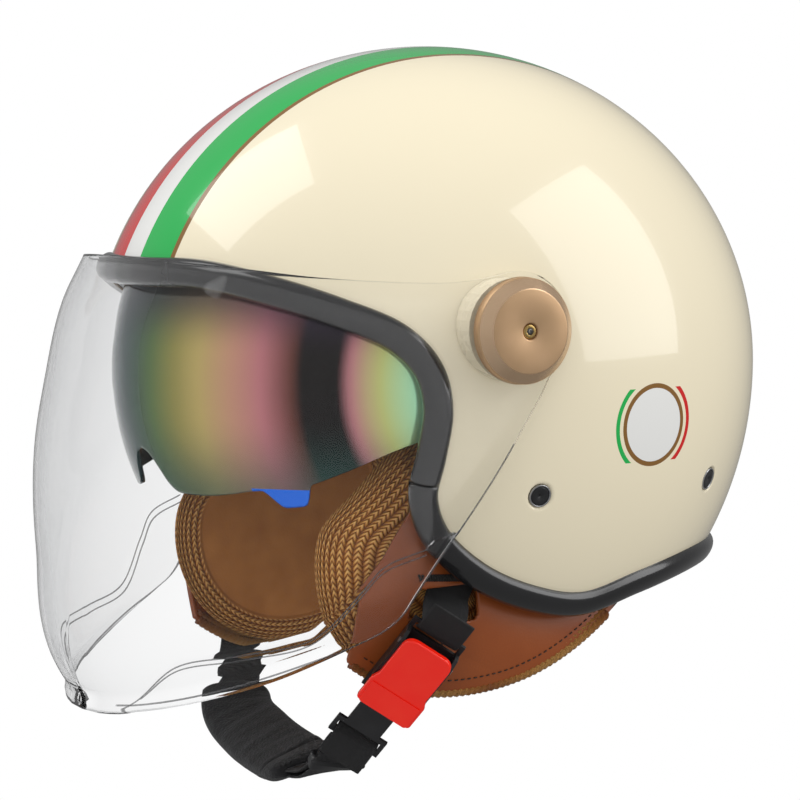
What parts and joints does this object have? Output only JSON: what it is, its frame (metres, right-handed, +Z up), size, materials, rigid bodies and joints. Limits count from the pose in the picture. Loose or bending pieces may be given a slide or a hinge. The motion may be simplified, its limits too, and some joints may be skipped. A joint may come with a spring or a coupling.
{
  "type": "open face motorcycle helmet",
  "caption": "Open face helmet with a clear bubble visor on side pivots, a drop-down mirrored sun visor, leather ear skirts and a ratchet chin strap.",
  "frame": {"origin": "middle of the visor's pivot axis, the reference point of the head inside", "axes": "+Z up, -Y the way the wearer looks, +X the wearer's left, along the visor's pivot axis"},
  "size_m": [0.2824, 0.3267, 0.3099],
  "materials": {
    "shell_paint": "clear-coated cream paint with green, white and red stripes",
    "foam": "dark expanded foam",
    "lining": "golden-brown braided fabric with suede",
    "leather": "smooth orange-brown leather",
    "edge_rubber": "semi-gloss black edge rubber",
    "clear_lens": "clear, glossy",
    "mirror_lens": "iridescent mirror coating",
    "black_plastic": "satin black",
    "red_plastic": "glossy red",
    "steel": "plain",
    "brass": "turned",
    "bronze": "matt rose-bronze anodised with a bright bevel",
    "webbing": "ribbed black webbing"
  },
  "bodies": {
    "root": {"outer_shell": "shell_paint", "impact_liner": "foam", "crown_pad": "lining", "neck_roll": "lining", "face_trim": "edge_rubber", "neck_trim": "edge_rubber", "buckle_frame": "black_plastic", "lever_pin": "steel", "lever_spring": "steel", "strap_left": "webbing", "strap_right": "webbing", "cheek_pad_left": "lining", "ear_skirt_left": "leather", "strap_anchor_left": "steel", "strap_rivet_front_left": "black_plastic", "strap_rivet_rear_left": "black_plastic", "pivot_plate_left": "shell_paint", "wave_washer_left": "steel", "pivot_bush_left": "brass", "knob_left": "bronze", "knob_screw_left": "brass", "pivot_nut_left": "steel", "sun_bracket_left": "black_plastic", "sun_pivot_screw_left": "steel", "cheek_pad_right": "lining", "ear_skirt_right": "leather", "strap_anchor_right": "steel", "strap_rivet_front_right": "black_plastic", "strap_rivet_rear_right": "black_plastic", "pivot_plate_right": "shell_paint", "wave_washer_right": "steel", "pivot_bush_right": "brass", "knob_right": "bronze", "knob_screw_right": "brass", "pivot_nut_right": "steel", "sun_bracket_right": "black_plastic", "sun_pivot_screw_right": "steel"},
    "visor": {"visor_lens": "clear_lens"},
    "sun_visor": {"sun_lens": "mirror_lens"},
    "lever": {"buckle_lever": "red_plastic"},
    "tongue": {"buckle_tongue": "black_plastic"}
  },
  "joints": [
    {"name": "visor_hinge", "type": "hinge", "parent": "root", "child": "visor", "pos_m": [0, 0, 0], "axis": [-1, 0, 0], "range_deg": [0, 52]},
    {"name": "sun_visor_hinge", "type": "hinge", "parent": "root", "child": "sun_visor", "pos_m": [0, 0.008, -0.022], "axis": [-1, 0, 0], "range_deg": [0, 48]},
    {"name": "lever_hinge", "type": "hinge", "parent": "root", "child": "lever", "pos_m": [0.10322, -0.02767, -0.13389], "axis": [-0.3092, -0.778, 0.5469], "range_deg": [0, 35], "stiffness_Nm_per_rad": 0.05, "springref_deg": -22.92},
    {"name": "tongue_slide", "type": "slide", "parent": "root", "child": "tongue", "axis": [0.6473, 0.2491, 0.7204], "range_m": [0, 0.008]}
  ]
}
